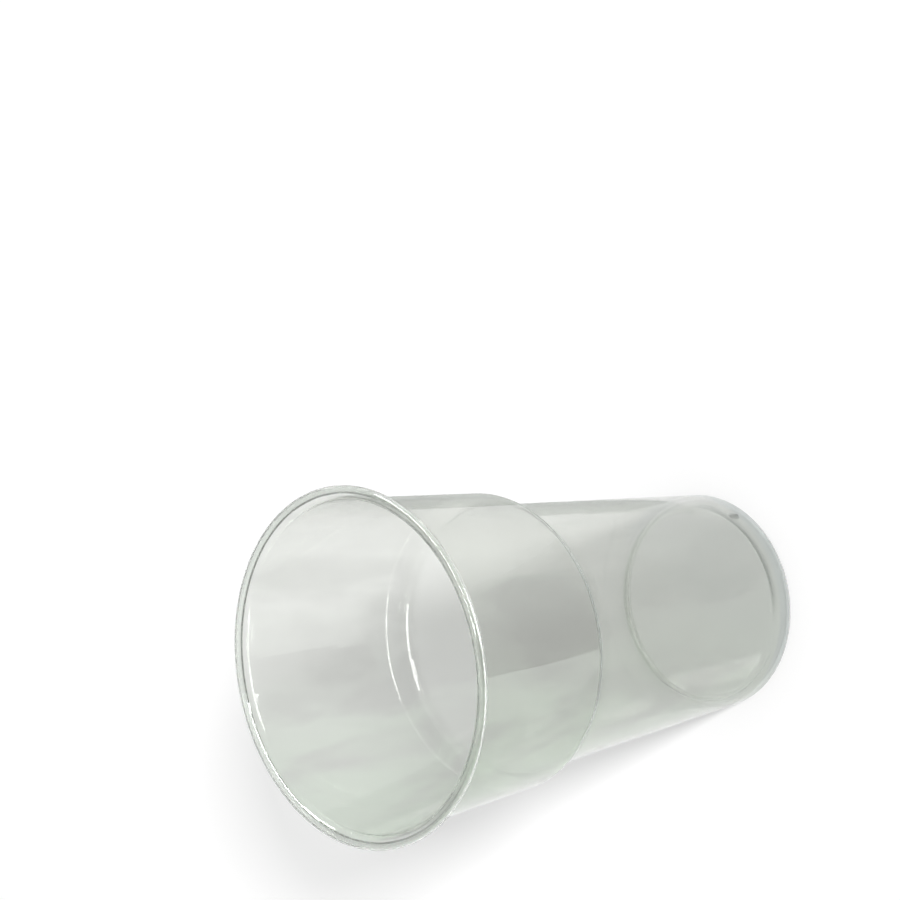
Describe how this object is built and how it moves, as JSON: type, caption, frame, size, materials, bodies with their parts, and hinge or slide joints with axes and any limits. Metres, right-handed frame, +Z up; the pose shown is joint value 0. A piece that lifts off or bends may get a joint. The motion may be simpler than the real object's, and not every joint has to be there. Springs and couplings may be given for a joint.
{
  "type": "plastic tumbler cup",
  "caption": "Clear disposable tumbler in thin moulded plastic: tapered walls with a shoulder step, a rolled lip, a narrow foot and a recessed base.",
  "frame": {"origin": "centre of the foot ring, in the plane that the cup stands on", "axes": "+Z up along the cup's axis, from the foot to the mouth; X and Y across, with the foot's small rib 39.5 degrees from +X towards -Y"},
  "size_m": [0.095, 0.095, 0.145],
  "materials": {
    "clear_plastic": "clear, glossy, with a slight grey-green haze"
  },
  "bodies": {
    "root": {"tumbler": "clear_plastic"}
  },
  "joints": []
}
